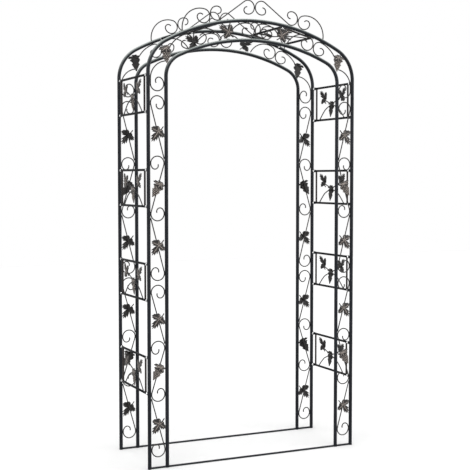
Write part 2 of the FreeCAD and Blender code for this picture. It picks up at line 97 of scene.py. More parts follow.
# A hook is the volute's join angle, the hook's radius and the angle at which it ends
SPRING_VOLUTE = (LADDER_X, 1947.0)
SPRING_STEM_TOP = 1972.0
SPRING_HOOK_RADIUS = 90.0
SHOULDER_VOLUTE_ANGLE = 68.6
SHOULDER_HOOK = (69.0, 160.0, 28.0)
HAUNCH_HOOK = (58.0, 100.0, 150.0)
CROWN_VOLUTE = (38.5, 2240.65)
CROWN_HOOK = (100.0, 100.0, 30.0)
PEAK_VOLUTE = (38.5, 2359.5)
CREST_LOW_VOLUTE_ANGLE = 78.55
CREST_HOOK = (102.0, 103.0, -9.0)

# Where the ornaments are, and the direction of their tips
LEG_LEAF_X = LADDER_X - 2.5
LEG_LEAF_ANGLE = 305.0
LEG_GRAPE_SHIFT = (-12.0, 22.0)
LEG_GRAPE_ANGLE = 303.0
ARCH_LEAF = (154.0, 2225.0)
ARCH_LEAF_ANGLE = 30.0
ARCH_GRAPE = (499.0, 2126.0)
ARCH_GRAPE_ANGLE = 264.5

# Vine leaf: each lobe's direction from the tip's axis, its length, and the sinus after it
LEAF_LOBES = ((0.0, 62.0, 13.0), (80.0, 43.0, 30.0), (148.0, 28.0, 13.0), (214.0, 25.0, 27.0),
              (275.0, 44.5, 13.0))
LEAF_STALK_LENGTH = 38.0
LEAF_STALK_ANGLE = 202.0
LEAF_DOME = 4.0
LEAF_COLUMNS, LEAF_ROWS = 240, 12
STAMPED_THICKNESS = 1.2
# Relief of a stamped blade: how far its edge curls, its middle is creased and its veins stand up
BLADE_CURL = 1.6
BLADE_CREASE = 1.5
VEIN_HEIGHT = 1.1
# Stalk: its radius, how much thicker its end is, and how far that end hooks over
STALK_RADIUS = 2.5
STALK_SWELLING = 0.6
STALK_HOOK = 7.0
# A lobe's teeth spread over no more than this many degrees to its neighbour
WIDEST_FLANK = 85.0
# Teeth of a lobe as (share of the way to the next sinus, share of the height above the sinus)
LEAF_TEETH = ((0.0, 1.0), (0.12, 0.74), (0.26, 0.88), (0.40, 0.50), (0.56, 0.68), (0.76, 0.34))

MIDRIB_WIDTH = 1.2
BRANCH_WIDTH = 1.5
BRANCH_SPACING = 10.5

# Grape bunch: fingers of its crown, and berries in staggered rows
CROWN_LOBES = ((0.0, 27.0, 22.0), (58.0, 37.0, 20.0), (80.0, 41.0, 15.0), (140.0, 15.0, 12.0),
               (222.0, 17.0, 15.0), (257.0, 27.0, 19.0), (304.0, 34.0, 22.0))
CROWN_DOME = 2.6
CROWN_COLUMNS, CROWN_ROWS = 200, 8
CROWN_TEETH = ((0.0, 1.0), (0.30, 0.78), (0.50, 0.70), (0.80, 0.30))
BERRY_RADIUS = 4.5
BERRY_ROW_STEP = 7.9
BERRY_ROWS = (4, 5, 4, 5, 4, 3, 2, 1)
BERRY_PITCH = 9.2
BERRY_START = 16.0
BERRY_SIDES = 14
# Outline of a berry from its back to its top, as shares of its radius and of its height
BERRY_PROFILE = ((0.15, 0.0), (1.0, 0.0), (0.96, 0.35), (0.82, 0.62), (0.55, 0.86), (0.22, 0.98))
BERRY_HEIGHT_SHARE = 0.85
BERRY_WEAR = 0.9
CORE_THICKNESS = 2.6
GRAPE_STALK_LENGTH = 19.0
GRAPE_STALK_ANGLE = 140.0

# Weld beads on scroll wire: where a volute touches a tube, and where a stem ends on one
VOLUTE_TOUCH = VOLUTE_RADIUS + 1.6
TOUCH_WELD_LENGTH = 13.0
FOOT_WELD_LENGTH = 12.0
SCROLL_WELD_WIDTH = 6.2
CREST_WELD_WIDTH = 6.4

# Bolted panels
PANELS_PER_SIDE = 4
TOP_PANEL_ANGLE = 15.1
PANEL_OFFSET = 1.5
BAR_SPACING = 184.0
BAR_RADIUS = 6.0
BAR_ROUND_END = 177.0
TONGUE_START = 183.0
TONGUE_END = 200.5
TONGUE_HEIGHT = 15.0
PLATE = 3.0
POST_Y = 172.0
POST_RADIUS = 5.0
POST_INSET = 3.0
BOLT_Y = 193.0
BOLT_RADIUS = 3.0
LUG_HEIGHT = 16.0
LUG_START = 186.0
HEX_ACROSS_FLATS = 10.0
BOLT_HEAD_HEIGHT = 4.0
NUT_HEIGHT = 5.0
BOLT_TAIL = 2.0
THREAD_PITCH = 1.0
THREAD_DEPTH = 0.45
WASHER_RADIUS = 5.6
WASHER_THICKNESS = 0.5
# Vine stem of a panel, as (along Y, up) from the panel's centre; the other one mirrors it
PANEL_STEM = ((97.0, 28.0), (62.0, 12.0), (15.0, -4.0), (-58.0, -31.0), (-88.0, -51.0), (-125.0, -84.4))
PANEL_LEAF = (102.0, 32.0)
PANEL_LEAF_ANGLE = 45.0
PANEL_GRAPE = (16.4, -3.2)
PANEL_GRAPE_ANGLE = -80.0

# Studio, in metres; the camera's angles are in degrees, its lens in millimetres
FLOOR_REACH = 12.0
ARCH_MIDDLE = (0.0, 0.0, 1.3)
CAMERA_PLACE = (-2.464, -5.211, 1.475)
CAMERA_TILT = 86.94
CAMERA_HEADING = -25.215
FOCAL_LENGTH = 81.3
SENSOR_WIDTH = 36.0

# Finishes
ARCH, TUBE, WIRE, LEAF, BOLT, POST, BAR = "arch", "tube", "wire", "leaf", "bolt", "post", "bar"

# Directions
SIDES = ("left", "right")
ALONG_X = (1.0, 0.0, 0.0)
ALONG_Y = (0.0, 1.0, 0.0)
ALONG_Z = (0.0, 0.0, 1.0)


# Plane drawing: positions are (x, z) pairs and angles are in degrees

ARC_STEP = 2.5


def cos_sin(angle):
    """Cosine and sine of an angle."""
    turn = math.radians(angle)
    return math.cos(turn), math.sin(turn)


def polar(centre, radius, angle):
    """The position at an angle on a circle."""
    c, s = cos_sin(angle)
    return (centre[0] + radius * c, centre[1] + radius * s)


def angle_to(start, end):
    """Direction from one position to another."""
    return math.degrees(math.atan2(end[1] - start[1], end[0] - start[0]))


def arc(centre, radius, start, end):
    """Positions along an arc, about one step apart."""
    length = abs(math.radians(end - start)) * radius
    count = max(8, int(length / ARC_STEP))
    return [polar(centre, radius, start + (end - start) * i / count) for i in range(count + 1)]


def volute(centre, start, turn):
    """Positions from the stem inwards: a large arc, then a tighter curl."""
    join = start + turn * VOLUTE_SWEEP
    curl_centre = polar(centre, VOLUTE_RADIUS - CURL_RADIUS, join)
    return (arc(centre, VOLUTE_RADIUS, start, join)
            + arc(curl_centre, CURL_RADIUS, join, join + turn * CURL_SWEEP)[1:])


def single_scroll(centre, foot):
    """Volute whose straight stem runs down to a foot."""
    reach = math.dist(centre, foot)
    start = angle_to(centre, foot) + math.degrees(math.acos(VOLUTE_RADIUS / reach))
    return [foot] + volute(centre, start, 1)


def double_scroll(upper, lower, turn):
    """Two volutes joined by the straight line that touches both."""
    half_gap = math.dist(upper, lower) / 2.0
    start = angle_to(upper, lower) + turn * math.degrees(math.acos(VOLUTE_RADIUS / half_gap))
    return volute(upper, start, turn)[::-1] + volute(lower, start + 180.0, turn)


def half_turned(path, centre):
    """A path turned half a turn about a centre."""
    return [(2.0 * centre[0] - x, 2.0 * centre[1] - z) for x, z in path]


def hooked_scroll(centre, turn, hook):
    """Volute that runs on, without a corner, into a wider arc."""
    join, radius, end = hook
    hook_centre = polar(centre, VOLUTE_RADIUS - radius, join)
    return arc(hook_centre, radius, end, join) + volute(centre, join, turn)[1:]


class ArchCurve:
    """Three-centred arch: a corner arc at each side, and one crown arc tangent to both."""

    def __init__(self, side_x, corner_radius, spring_z, crown_z):
        self.side_x = side_x
        self.corner_radius = corner_radius
        self.corner_centre = (side_x - corner_radius, spring_z)
        rise = crown_z - spring_z - corner_radius
        centre_gap = (self.corner_centre[0] ** 2 + rise ** 2) / (2.0 * rise)
        self.crown_radius = centre_gap + corner_radius
        self.crown_centre = (0.0, crown_z - self.crown_radius)
        self.join_angle = angle_to(self.crown_centre, self.corner_centre)

    def path(self, foot_z):
        """Positions from the right foot over the crown to the left foot."""
        right = [(self.side_x, foot_z), (self.side_x, foot_z + ARCH_START)]
        right += arc(self.corner_centre, self.corner_radius, 0.0, self.join_angle)
        crown = arc(self.crown_centre, self.crown_radius, self.join_angle, 180.0 - self.join_angle)
        left = [(-x, z) for x, z in reversed(right)]
        return right + crown[1:-1] + left


OUTER_CURVE = ArchCurve(OUTER_TUBE_X, *OUTER_ARCH)
INNER_CURVE = ArchCurve(INNER_TUBE_X, *INNER_ARCH)


def volute_pair(curve, angle, turn):
    """Centres of two volutes that rest side by side on the outside of an arch tube."""
    reach = curve.crown_radius + TUBE_RADIUS + WIRE_RADIUS + VOLUTE_RADIUS
    step = 2.0 * math.degrees(math.asin((VOLUTE_RADIUS + WIRE_RADIUS) / reach))
    return [polar(curve.crown_centre, reach, angle + shift) for shift in (0.0, turn * step)]


# Solid drawing: a shell is (points, faces, finish, relief), with one relief value per point

def shell(points, faces, finish, relief=None):
    """A shell whose relief is nought unless it is given."""
    points = np.array(points, float)
    relief = np.zeros(len(points)) if relief is None else np.array(relief, float)
    return (points, faces, finish, relief)


def grid_faces(rows, columns, closed_rows=False):
    """Quads of a grid of points; columns always close up, rows only if asked."""
    faces = []
    for row in range(rows if closed_rows else rows - 1):
        below = row * columns
        above = ((row + 1) % rows) * columns
        for column in range(columns):
            after = (column + 1) % columns
            faces.append((below + column, below + after, above + after, above + column))
    return faces


def closed_faces(rows, columns):
    """Faces of a grid of points whose two ends close up on the two points after the grid."""
    faces = grid_faces(rows, columns)
    first, last = rows * columns, rows * columns + 1
    top = (rows - 1) * columns
    for column in range(columns):
        after = (column + 1) % columns
        faces.append((first, after, column))
        faces.append((last, top + column, top + after))
    return faces


def capped(rings, finish, relief=None):
    """Closed shell through rings of equal length, with a point in the middle of each end."""
    rings = np.array(rings, float)
    ends = np.array([rings[0].mean(0), rings[-1].mean(0)])
    points = np.concatenate([rings.reshape(-1, 3), ends])
    faces = closed_faces(*rings.shape[:2])
    if relief is not None:
        relief = np.concatenate([np.ravel(relief), [0.0, 0.0]])
    return shell(points, faces, finish, relief)


def turns_round(count):
    """Evenly spaced angles round a circle, in radians."""
    return np.arange(count) * 2.0 * math.pi / count


def axes_of(along):
    """Unit vectors along a direction and in two directions across it."""
    along = np.array(along, float)
    along /= np.linalg.norm(along)
    helper = np.array((0.0, 1.0, 0.0)) if abs(along[1]) < 0.9 else np.array((1.0, 0.0, 0.0))
    side = np.cross(helper, along)
    side /= np.linalg.norm(side)
    return along, side, np.cross(along, side)


def tangents(path):
    """Unit direction at each point of a path, halfway between the steps that meet there."""
    steps = np.diff(path, axis=0)
    steps /= np.linalg.norm(steps, axis=1)[:, None]
    joined = np.concatenate([steps[:1], steps[:-1] + steps[1:], steps[-1:]])
    return joined / np.linalg.norm(joined, axis=1)[:, None]


def swept(path, radii, normal, finish, sides=16):
    """Round bar along a path that lies in the plane with this normal."""
    path = np.array(path, float)
    normal = np.array(normal, float)
    across = np.cross(normal, tangents(path))
    radii = np.broadcast_to(np.array(radii, float), (len(path),))[:, None, None]
    turns = turns_round(sides)
    circle = (np.cos(turns)[None, :, None] * across[:, None, :]
              + np.sin(turns)[None, :, None] * normal[None, None, :])
    return capped(path[:, None, :] + radii * circle, finish)


def in_xz(path):
    """A plane path as points in the XZ plane."""
    return [(x, 0.0, z) for x, z in path]


def rounded_ends(path, radius, size):
    """The path with extra points near its ends, and radii that round the ends off."""
    path = [np.array(p, float) for p in path]
    early = 0.35
    steps = (0.0, early, 1.0)
    start = path[1] - path[0]
    start /= np.linalg.norm(start)
    end = path[-2] - path[-1]
    end /= np.linalg.norm(end)
    head = [path[0] + start * size * s for s in steps]
    tail = [path[-1] + end * size * s for s in reversed(steps)]
    edge = [radius - size, radius - early * size, radius]
    return head + path[1:-1] + tail, edge + [radius] * (len(path) - 2) + edge[::-1]


def wire_bar(path):
    """Scroll wire in the XZ plane, its cut ends a little rounded."""
    points, radii = rounded_ends(in_xz(path), WIRE_RADIUS, 0.6)
    return swept(points, radii, ALONG_Y, WIRE)


def lathe(profile, start, along, finish, sides=24):
    """Solid of revolution: profile is (distance along, radius) pairs."""
    along, side, up = axes_of(along)
    turns = turns_round(sides)
    circle = np.cos(turns)[:, None] * side + np.sin(turns)[:, None] * up
    rings = [np.array(start) + along * distance + radius * circle for distance, radius in profile]
    return capped(rings, finish)


def rod(start, length, radius, along, finish, sides):
    """Plain round bar with flat ends."""
    return lathe([(0.0, radius), (length, radius)], start, along, finish, sides)


def weld(centre, along, length, width, seed):
    """Lumpy weld bead: an egg with ripples across it; the seed shifts the ripples."""
    profile = []
    for share in np.linspace(-0.97, 0.97, 13):
        ripple = 1.0 + 0.12 * math.sin(9.0 * share + seed)
        radius = width / 2.0 * math.sqrt(1.0 - share ** 2) * ripple
        profile.append((share * length / 2.0, radius))
    return lathe(profile, centre, along, WIRE, sides=10)


def weld_ring(centre, along, radius, width, seed):
    """Weld bead all round a bar where it meets a tube or another bar."""
    along, side, up = axes_of(along)
    rows, columns = 28, 8
    points = []
    for turn in turns_round(rows):
        outwards = math.cos(turn) * side + math.sin(turn) * up
        lumps = 0.16 * math.sin(5.0 * turn + seed) + 0.10 * math.sin(11.0 * turn)
        bead = width / 2.0 * (1.0 + lumps)
        for lean in turns_round(columns):
            offset = math.cos(lean) * outwards + math.sin(lean) * along
            points.append(np.array(centre) + outwards * radius + offset * bead)
    return shell(points, grid_faces(rows, columns, closed_rows=True), TUBE)


def wire_weld(centre, volute_centre, seed):
    """Bead where a volute rests on an arch tube, on the line from the tube's arc centre."""
    angle = angle_to(centre, volute_centre)
    x, z = polar(volute_centre, -VOLUTE_TOUCH, angle)
    c, s = cos_sin(angle)
    return weld((x, 0.0, z), (-s, 0.0, c), TOUCH_WELD_LENGTH, SCROLL_WELD_WIDTH, seed)


# Placing

def turned(angle, axis):
    """Rotation by degrees about the x, y or z axis, as a 4 by 4 matrix."""
    c, s = cos_sin(angle)
    m = np.identity(4)
    a, b = {"x": (1, 2), "y": (2, 0), "z": (0, 1)}[axis]
    m[a, a] = m[b, b] = c
    m[b, a], m[a, b] = s, -s
    return m


def shifted(x, y, z):
    """A move, as a 4 by 4 matrix."""
    m = np.identity(4)
    m[:3, 3] = (x, y, z)
    return m


MIRROR_X = np.diag((-1.0, 1.0, 1.0, 1.0))


def placed(shells, matrix):
    """Shells moved by a matrix; a mirror image keeps its faces outwards."""
    flipped = np.linalg.det(matrix[:3, :3]) < 0.0
    result = []
    for points, faces, finish, relief in shells:
        points = points @ matrix[:3, :3].T + matrix[:3, 3]
        if flipped:
            faces = [face[::-1] for face in faces]
        result.append((points, faces, finish, relief))
    return result


def frame_matrix(name):
    """The front frame moves forwards; the rear one is the same, turned half a turn about Z."""
    move = shifted(0.0, -FRAME_Y, 0.0)
    return move if name == "front" else turned(180.0, "z") @ move


def side_matrix(side, name):
    """Mirror to the left; the rear frame is turned about, so its legs swap."""
    return MIRROR_X if (side == "left") == (name == "front") else np.identity(4)


def both_halves(shells):
    """The shells of a right half, with their mirror image."""
    return shells + placed(shells, MIRROR_X)


# Stamped ornaments, drawn round the origin with the tip towards +X and the front towards -Y

def smooth_cycle(angles, radii, count):
    """Closed smooth curve through angles and radii, at evenly spaced angles."""
    angles = np.concatenate([angles - 360.0, angles, angles + 360.0])
    radii = np.tile(radii, 3)
    wanted = np.arange(count) * 360.0 / count
    index = np.clip(np.searchsorted(angles, wanted, side="right") - 1, 0, len(angles) - 2)
    share = (wanted - angles[index]) / (angles[index + 1] - angles[index])
    share = share * share * (3.0 - 2.0 * share)
    return wanted, radii[index] * (1.0 - share) + radii[index + 1] * share


def lobed_edge(lobes, teeth, count):
    """Toothed edge of a leaf as angles and radii."""
    pairs = []
    for index, (angle, length, sinus) in enumerate(lobes):
        before = (angle - lobes[index - 1][0]) % 360.0
        after = (lobes[(index + 1) % len(lobes)][0] - angle) % 360.0
        flanks = ((-1.0, min(before, WIDEST_FLANK), lobes[index - 1][2]),
                  (1.0, min(after, WIDEST_FLANK), sinus))
        for share, rise in teeth:
            for turn, gap, low in flanks:
                if share > 0.0 or turn > 0.0:
                    radius = low + rise * (length - low)
                    pairs.append(((angle + turn * share * gap / 2.0) % 360.0, radius))
        pairs.append(((angle + after / 2.0) % 360.0, sinus))
    return smooth_cycle(*np.array(sorted(pairs)).T, count)


def vein_relief(x, z, lobes):
    """Height of the veins at a position, from 0 to 1: a midrib along each lobe, with side veins."""
    height = np.zeros_like(x)
    for angle, length, _ in lobes:
        c, s = cos_sin(angle)
        along = x * c + z * s
        across = np.abs(-x * s + z * c)
        inside = np.clip(along / 4.0, 0.0, 1.0) * np.clip((length - along) / (0.3 * length), 0.0, 1.0)
        midrib = np.exp(-(across / MIDRIB_WIDTH) ** 2) * inside
        phase = ((along - 0.9 * across) / BRANCH_SPACING) % 1.0
        branch = np.exp(-((phase - 0.5) * BRANCH_SPACING / BRANCH_WIDTH) ** 2)
        branch *= inside * np.clip(1.0 - across / (0.42 * length), 0.0, 1.0) * (along > 5.0)
        height = np.maximum(height, np.maximum(midrib, 0.9 * branch))
    return height


def stamped_blade(lobes, teeth, dome, columns, rows):
    """Domed blade with veins, as a closed shell one sheet thick."""
    angles, edge = lobed_edge(lobes, teeth, columns)
    shares = np.linspace(0.0, 1.0, rows + 1)[1:]
    radii = shares[:, None] * edge[None, :]
    turns = np.radians(angles)[None, :]
    x, z = radii * np.cos(turns), radii * np.sin(turns)
    longest = max(length for _, length, _ in lobes)
    reach = radii / longest
    veins = vein_relief(x, z, lobes)
    curl = BLADE_CURL * reach ** 2 * np.sin(3.0 * turns + 0.6)
    crease = BLADE_CREASE * (1.0 - shares[:, None] ** 3)
    front = -(STAMPED_THICKNESS + dome * (1.0 - reach ** 1.6) + crease + VEIN_HEIGHT * veins - curl)
    front = np.minimum(front, -STAMPED_THICKNESS)
    back = front + STAMPED_THICKNESS
    inward = 1.0 - 0.35 / np.maximum(edge, 1.0)
    front_ring = np.stack([x, front, z], axis=2)
    back_ring = np.stack([x * inward, back, z * inward], axis=2)
    ends = [(0.0, front[0].min() - 0.2, 0.0), (0.0, back[0].max(), 0.0)]
    rings = np.concatenate([front_ring, back_ring[::-1]])
    points = np.concatenate([rings.reshape(-1, 3), ends])
    faces = closed_faces(len(rings), columns)
    rim = np.clip((shares[:, None] - 0.86) / 0.10, 0.0, 1.0)
    worn = np.clip(np.maximum(veins, 0.45 * rim), 0.0, 1.0)
    relief = np.concatenate([worn.ravel(), np.zeros(veins.size), [1.0, 0.0]])
    return shell(points, faces, LEAF, relief)


def hooked_stalk(length, angle, lift):
    """Stalk that runs out from the blade at this angle and curls up at its end."""
    shares = np.linspace(0.0, 1.0, 14)
    path = [(length * s, -(lift * (1.0 - s) + 2.6), -STALK_HOOK * s ** 3) for s in shares]
    radii = STALK_RADIUS + STALK_SWELLING * shares
    radii[0], radii[-1] = 1.2, 1.8
    stalk = swept(path, radii, ALONG_Y, LEAF, sides=10)
    return placed([stalk], turned(-angle, "y"))[0]


def vine_leaf():
    """Five-lobed leaf with its stalk and the weld that holds it to the wire."""
    blade = stamped_blade(LEAF_LOBES, LEAF_TEETH, LEAF_DOME, LEAF_COLUMNS, LEAF_ROWS)
    return [blade, hooked_stalk(LEAF_STALK_LENGTH, LEAF_STALK_ANGLE, 2.0),
            weld((2.0, -1.4, 0.0), ALONG_X, 12.0, 6.0, 0.7)]


def berry(x, y, z, radius):
    """Flattened dome with its back closed."""
    rings = []
    turns = turns_round(BERRY_SIDES)
    for share, height in BERRY_PROFILE:
        ring_x = x + radius * share * np.cos(turns)
        ring_z = z + radius * share * np.sin(turns)
        ring_y = np.full_like(ring_x, y - height * radius * BERRY_HEIGHT_SHARE)
        rings.append(np.stack([ring_x, ring_y, ring_z], axis=1))
    heights = np.array(BERRY_PROFILE)[:, 1]
    relief = np.repeat(BERRY_WEAR * heights ** 2, BERRY_SIDES)
    points, faces, finish, relief = capped(rings, LEAF, relief)
    relief[-1] = BERRY_WEAR
    return (points, [face[::-1] for face in faces], finish, relief)


def berry_places():
    """Staggered rows of berries, narrowing to the tip."""
    places = []
    for row, count in enumerate(BERRY_ROWS):
        along = BERRY_START + row * BERRY_ROW_STEP
        for index in range(count):
            places.append((along, (index - (count - 1) / 2.0) * BERRY_PITCH))
    return places


def bunch_core():
    """Thick tapered plate behind the berries."""
    edge = [(BERRY_START + row * BERRY_ROW_STEP, (count - 1) / 2.0 * BERRY_PITCH + 2.5)
            for row, count in enumerate(BERRY_ROWS)]
    edge.insert(0, (edge[0][0] - 6.0, edge[0][1]))
    tip = (edge[-1][0] + 3.0, 0.0)
    outline = [(x, -z) for x, z in edge] + [tip] + edge[::-1]
    rings = [[(x, y, z) for x, z in outline] for y in (0.0, -CORE_THICKNESS)]
    return capped(rings, LEAF)


def grape_bunch():
    """Bunch of grapes under a crown of small leaves."""
    crown = stamped_blade(CROWN_LOBES, CROWN_TEETH, CROWN_DOME, CROWN_COLUMNS, CROWN_ROWS)
    stalk = hooked_stalk(GRAPE_STALK_LENGTH, GRAPE_STALK_ANGLE, 1.4)
    berries = []
    for index, (x, z) in enumerate(berry_places()):
        size = BERRY_RADIUS * (1.0 + 0.05 * math.sin(2.4 * index))
        depth = -1.2 - 0.5 * math.cos(1.7 * index)
        berries.append(berry(x, depth, z, size))
    return [bunch_core()] + placed([crown], shifted(0.0, -1.6, 0.0)) + berries + [stalk]


VINE_LEAF = vine_leaf()
GRAPE_BUNCH = grape_bunch()


def ornament(shells, position, angle):
    """An ornament turned in the XZ plane and set on the front of the wire there."""
    move = shifted(position[0], -WIRE_RADIUS, position[1]) @ turned(-angle, "y")
    return placed(shells, move)


# Frame pieces, in the drawing of the front frame's right half

def leg_tube(x, bottom, top):
    """Hollow tube section; the open foot shows its wall, the joint end is chamfered."""
    bore = TUBE_RADIUS - TUBE_WALL
    length = top - bottom
    c = JOINT_CHAMFER
    profile = [] if bottom > 0.0 else [(DRAWN_BORE, bore), (0.0, bore)]
    profile += [(0.0, TUBE_RADIUS - c), (c, TUBE_RADIUS)]
    profile += [(length - c, TUBE_RADIUS), (length, TUBE_RADIUS - c)]
    return lathe(profile, (x, 0.0, bottom), ALONG_Z, TUBE, sides=32)


def arch_tube(curve):
    """Bent tube from joint to joint, its ends chamfered."""
    points, radii = rounded_ends(in_xz(curve.path(UPPER_JOINT)), TUBE_RADIUS, JOINT_CHAMFER)
    return swept(points, radii, ALONG_Y, ARCH, sides=32)


def side_welds(centre, number):
    """Beads where a volute between two upright tubes touches them."""
    return [weld((centre[0] + turn * VOLUTE_TOUCH, 0.0, centre[1]), ALONG_Z, TOUCH_WELD_LENGTH,
                 SCROLL_WELD_WIDTH, number + turn) for turn in (-1.0, 1.0)]


def leg_scrolls(level):
    """Scroll wires and welds of a leg section, its centre, and how far from it the leaves are."""
    low, high = LEG_SCROLL_SPANS[level]
    centre = (LADDER_X, (low + high) / 2.0)
    half_gap = MIDDLE_SCROLL_SHARE * (high - low) / 2.0 - VOLUTE_RADIUS
    upper = (LADDER_X, centre[1] + half_gap)
    lower = (LADDER_X, centre[1] - half_gap)
    top = (LADDER_X, high - VOLUTE_RADIUS)
    bottom = (LADDER_X, low + VOLUTE_RADIUS)
    foot = (LADDER_X - VOLUTE_RADIUS, upper[1] + STEM_FOOT_RISE)
    top_scroll = single_scroll(top, foot)
    paths = [top_scroll, double_scroll(upper, lower, -1), half_turned(top_scroll, centre)]
    shells = [wire_bar(path) for path in paths]
    for number, volute_centre in enumerate((top, upper, lower, bottom)):
        shells += side_welds(volute_centre, number)
    for x, z in (foot, half_turned([foot], centre)[0]):
        shells.append(weld((x, 0.0, z), ALONG_Z, FOOT_WELD_LENGTH, SCROLL_WELD_WIDTH, 2.0))
    leaf_rise = foot[1] + LEAF_SHARE * (top[1] - foot[1]) - centre[1]
    return shells, centre, leaf_rise


def leg_foliage(centre, leaf_rise):
    """Leaf, grape bunch and leaf of a leg section."""
    shells = []
    for rise in (leaf_rise, -leaf_rise):
        shells += ornament(VINE_LEAF, (LEG_LEAF_X, centre[1] + rise), LEG_LEAF_ANGLE)
    grape_at = (centre[0] + LEG_GRAPE_SHIFT[0], centre[1] + LEG_GRAPE_SHIFT[1])
    return shells + ornament(GRAPE_BUNCH, grape_at, LEG_GRAPE_ANGLE)


def arch_scrolls():
    """Scroll wires of the right half of an arch, with their welds."""
    stem_foot = (SPRING_VOLUTE[0] + VOLUTE_RADIUS, SPRING_VOLUTE[1])
    hook_centre = (stem_foot[0] - SPRING_HOOK_RADIUS, SPRING_STEM_TOP)
    spring = volute(SPRING_VOLUTE, 0.0, -1)[::-1] + arc(hook_centre, SPRING_HOOK_RADIUS, 0.0, 90.0)
    shoulder, haunch = volute_pair(INNER_CURVE, SHOULDER_VOLUTE_ANGLE, 1)
    paths = [spring, hooked_scroll(shoulder, 1, SHOULDER_HOOK),
             hooked_scroll(haunch, -1, HAUNCH_HOOK), hooked_scroll(CROWN_VOLUTE, 1, CROWN_HOOK)]
    shells = [wire_bar(path) for path in paths]
    for number, centre in enumerate((shoulder, haunch)):
        shells.append(wire_weld(INNER_CURVE.crown_centre, centre, number))
    shells += side_welds(SPRING_VOLUTE, 0.0)
    x, z = polar(CROWN_VOLUTE, VOLUTE_TOUCH, 90.0)
    shells.append(weld((x, 0.0, z), ALONG_X, TOUCH_WELD_LENGTH, SCROLL_WELD_WIDTH, 0.3))
    return shells


def crest_scrolls():
    """Scroll wires of the right half of a crest, with their welds."""
    low, side = volute_pair(OUTER_CURVE, CREST_LOW_VOLUTE_ANGLE, -1)
    hook = hooked_scroll(side, 1, CREST_HOOK)
    shells = [wire_bar(double_scroll(PEAK_VOLUTE, low, 1)), wire_bar(hook)]
    for number, centre in enumerate((low, side)):
        shells.append(wire_weld(OUTER_CURVE.crown_centre, centre, number))
    foot = hook[0]
    place = (foot[0], 0.0, foot[1])
    shells.append(weld(place, (0.8, 0.0, -0.6), FOOT_WELD_LENGTH, CREST_WELD_WIDTH, 1.0))
    return shells


def ground_bars():
    """Bars between the feet, with a weld round each end."""
    shells = []
    inner_edge = INNER_TUBE_X - TUBE_RADIUS
    near, far = INNER_TUBE_X + TUBE_RADIUS, OUTER_TUBE_X - TUBE_RADIUS
    overlap = 1.5
    for start, end in ((-inner_edge, inner_edge), (-far, -near), (near, far)):
        length = end - start + 2.0 * overlap
        base = (start - overlap, 0.0, GROUND_BAR_RADIUS)
        shells.append(rod(base, length, GROUND_BAR_RADIUS, ALONG_X, TUBE, 24))
        for number, x in enumerate((start + 0.6, end - 0.6)):
            centre = (x, 0.0, GROUND_BAR_RADIUS + 0.8)
            shells.append(weld_ring(centre, ALONG_X, GROUND_BAR_RADIUS - 0.9, 2.8, number))
    return shells


# Panel pieces, in the YZ plane round the panel's centre, with the outside towards +X

def flattened_bar(z):
    """Bar along Y, round in the middle and pressed flat at both ends."""
    half_height = TONGUE_HEIGHT / 2.0
    disc_y = TONGUE_END - half_height
    flattening = TONGUE_START - BAR_ROUND_END
    stations = [(0.0, 0.0), (BAR_ROUND_END, 0.0)]
    stations += [(BAR_ROUND_END + share * flattening, share) for share in (0.25, 0.5, 0.75, 1.0)]
    stations += [(disc_y, 1.0)]
    stations += [(disc_y + half_height * math.sin(a), 1.0)
                 for a in np.radians((20, 40, 55, 68, 78, 85))]
    rings = []
    turns = (np.arange(32) + 0.5) * 2.0 * math.pi / 32
    cosines, sines = np.cos(turns), np.sin(turns)
    for y, press in stations:
        ease = press * press * (3.0 - 2.0 * press)
        deep = BAR_RADIUS + (PLATE / 2.0 - BAR_RADIUS) * ease
        tall = BAR_RADIUS + (half_height - BAR_RADIUS) * ease
        if y > disc_y:
            tall = max(math.sqrt(half_height ** 2 - (y - disc_y) ** 2), 0.4)
        power = 1.0 - 0.62 * ease
        x = deep * np.sign(cosines) * np.abs(cosines) ** power
        rise = tall * np.sign(sines) * np.abs(sines) ** power
        rings.append(np.stack([x, np.full_like(x, y), z + rise], axis=1))
    mirrored_rings = [ring * np.array((1.0, -1.0, 1.0)) for ring in reversed(rings[1:])]
    points, faces, finish, relief = capped(mirrored_rings + rings, BAR)
    return (points, [face[::-1] for face in faces], finish, relief)


def panel_frame():
    """Two bars and two posts, welded at the corners."""
    half = BAR_SPACING / 2.0
    shells = [flattened_bar(half), flattened_bar(-half)]
    length = BAR_SPACING - 2.0 * POST_INSET
    for y in (-POST_Y, POST_Y):
        shells.append(rod((0.0, y, -half + POST_INSET), length, POST_RADIUS, ALONG_Z, POST, 20))
        for number, z in enumerate((-half + 5.0, half - 5.0)):
            shells.append(weld_ring((0.0, y, z), ALONG_Z, POST_RADIUS - 0.5, 2.6, number))
    return shells


def smooth_path(positions, steps=14):
    """Smooth curve through the positions, with even tangents at the ends."""
    p = np.array(positions, float)
    p = np.concatenate([[2.0 * p[0] - p[1]], p, [2.0 * p[-1] - p[-2]]])
    path = []
    for i in range(1, len(p) - 2):
        for step in range(steps):
            t = step / steps
            path.append(0.5 * (2.0 * p[i] + (p[i + 1] - p[i - 1]) * t
                               + (2.0 * p[i - 1] - 5.0 * p[i] + 4.0 * p[i + 1] - p[i + 2]) * t ** 2
                               + (3.0 * p[i] - p[i - 1] - 3.0 * p[i + 1] + p[i + 2]) * t ** 3))
    return path + [p[-2]]


def panel_stem(side, x):
    """Vine stem that thins out towards its leaf."""
    path = [(x, side * y, z) for y, z in smooth_path(PANEL_STEM)]
    radii = np.full(len(path), WIRE_RADIUS)
    thinning = 8
    radii[:thinning] = np.linspace(1.2, WIRE_RADIUS, thinning)
    return swept(path, radii, ALONG_X, LEAF, sides=14)


def panel_ornament(shells, position, angle, back_x):
    """An ornament turned to face outwards, its back at this distance from the panel's plane."""
    move = shifted(back_x, position[0], position[1]) @ turned(90.0, "z") @ turned(-angle, "y")
    return placed(shells, move)


